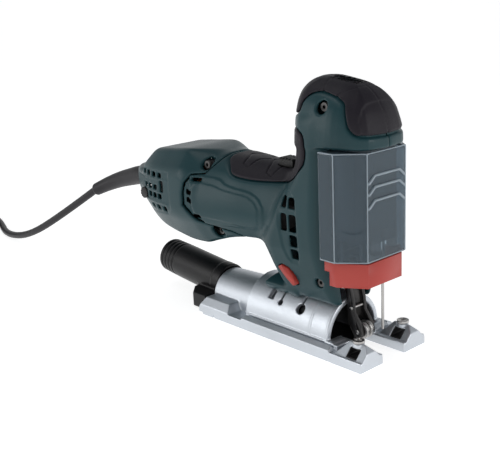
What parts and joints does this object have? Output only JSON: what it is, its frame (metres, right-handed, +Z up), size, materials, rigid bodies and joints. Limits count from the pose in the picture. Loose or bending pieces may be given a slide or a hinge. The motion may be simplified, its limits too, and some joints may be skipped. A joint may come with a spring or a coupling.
{
  "type": "jigsaw power tool",
  "caption": "Corded body-grip jigsaw with a tilting slotted base, clear chip guard, tool-free blade clamp lever, guide roller, rear dust pipe and mains lead.",
  "frame": {"origin": "on the sole plane where the saw blade comes through, straight under the plunger", "axes": "+X forward along the cut, +Y to the tool's left, +Z up from the sole"},
  "size_m": [0.6685, 0.1397, 0.195],
  "materials": {
    "teal_shell": "fine satin texture",
    "soft_grip": "soft-touch matt",
    "red_plastic": "satin",
    "cast_aluminium": "tumbled casting",
    "grey_casting": "satin paint",
    "black_plastic": "satin",
    "clear_guard": "clear, polished",
    "steel": "ground",
    "dark_steel": "blackened",
    "laminated_steel": "stacked laminations",
    "copper": "enamelled wire and bare copper",
    "bronze": "sintered",
    "carbon": "matt",
    "lead_rubber": "satin"
  },
  "bodies": {
    "housing": {"housing_right": "teal_shell", "housing_left": "teal_shell", "rear_cover": "teal_shell", "grip_neck": "soft_grip", "grip_cap": "soft_grip", "housing_screw_1": "dark_steel", "housing_screw_2": "dark_steel", "cover_screw_right_1": "dark_steel", "cover_screw_right_2": "dark_steel", "cover_screw_left_1": "dark_steel", "cover_screw_left_2": "dark_steel", "gear_case": "grey_casting", "plunger_bushes": "bronze", "gear_shaft": "steel", "front_bearing": "steel", "rear_bearing": "steel", "motor_frame": "black_plastic", "stator_core": "laminated_steel", "field_coils": "copper", "brush_holders": "bronze", "carbon_brushes": "carbon", "switch_body": "black_plastic", "speed_module": "black_plastic", "wire_guard": "steel", "tilt_screw": "steel", "fork_pivot_pin": "steel", "lever_pin": "steel", "lever_spring": "steel", "strain_relief": "lead_rubber", "cord_lead": "lead_rubber", "cord_coil": "lead_rubber", "mains_plug": "lead_rubber"},
    "base": {"base_plate": "cast_aluminium", "dust_pipe": "black_plastic", "bar_screw_right": "steel", "bar_screw_left": "steel"},
    "armature": {"armature_shaft": "steel", "armature_core": "laminated_steel", "armature_winding": "copper", "commutator": "copper", "cooling_fan": "black_plastic"},
    "gear": {"drive_gear": "steel", "crank_pin": "steel"},
    "plunger": {"plunger_rod": "steel", "plunger_yoke": "steel", "blade_clamp": "dark_steel"},
    "clamp": {"clamp_sleeve": "steel"},
    "lever": {"release_lever": "red_plastic"},
    "guard": {"clear_guard": "clear_guard"},
    "fork": {"roller_fork": "dark_steel", "fork_cross_pin": "steel", "roller_axle": "steel"},
    "roller": {"guide_roller": "steel"},
    "stroke_knob": {"pendulum_knob": "red_plastic"},
    "blower": {"blower_slider": "red_plastic"},
    "switch": {"switch_slider": "black_plastic"},
    "dial": {"speed_dial": "black_plastic"}
  },
  "joints": [
    {"name": "bevel_tilt", "type": "hinge", "parent": "housing", "child": "base", "pos_m": [0, 0, 0.01], "axis": [1, 0, 0], "range_deg": [-45, 45]},
    {"name": "armature_spin", "type": "hinge", "parent": "housing", "child": "armature", "pos_m": [0, 0, 0.099], "axis": [1, 0, 0], "continuous": true},
    {"name": "gear_spin", "type": "hinge", "parent": "housing", "child": "gear", "pos_m": [0, 0, 0.1262], "axis": [1, 0, 0], "continuous": true},
    {"name": "plunger_stroke", "type": "slide", "parent": "housing", "child": "plunger", "axis": [0, 0, 1], "range_m": [-0.011, 0.011]},
    {"name": "clamp_turn", "type": "hinge", "parent": "plunger", "child": "clamp", "pos_m": [0, 0, 0.065], "axis": [0, 0, 1], "range_deg": [0, 40]},
    {"name": "lever_swing", "type": "hinge", "parent": "housing", "child": "lever", "pos_m": [-0.007, 0.026, 0.064], "axis": [0, 0, 1], "range_deg": [0, 50], "stiffness_Nm_per_rad": 0.15, "springref_deg": -20.05},
    {"name": "guard_removal", "type": "slide", "parent": "housing", "child": "guard", "axis": [1, 0, 0], "range_m": [0, 0.045]},
    {"name": "fork_swing", "type": "hinge", "parent": "housing", "child": "fork", "pos_m": [-0.025, 0, 0.062], "axis": [0, -1, 0], "range_deg": [0, 3]},
    {"name": "roller_spin", "type": "hinge", "parent": "fork", "child": "roller", "pos_m": [-0.011, 0, 0.0146], "axis": [0, 1, 0], "continuous": true},
    {"name": "stroke_select", "type": "hinge", "parent": "housing", "child": "stroke_knob", "pos_m": [-0.062, 0.032, 0.06], "axis": [0, 1, 0], "range_deg": [0, 90]},
    {"name": "blower_slide", "type": "slide", "parent": "housing", "child": "blower", "axis": [0.7691, 0, -0.6391], "range_m": [0, 0.002]},
    {"name": "switch_slide", "type": "slide", "parent": "housing", "child": "switch", "axis": [1, 0, 0], "range_m": [0, 0.0055]},
    {"name": "dial_turn", "type": "hinge", "parent": "housing", "child": "dial", "pos_m": [-0.2225, -0.03, 0.091], "axis": [0, 1, 0], "range_deg": [0, 270]}
  ],
  "couplings": [
    {"joint": "gear_spin", "follows": "armature_spin", "ratio": -0.17241},
    {"joint": "clamp_turn", "follows": "lever_swing", "ratio": 0.8}
  ]
}
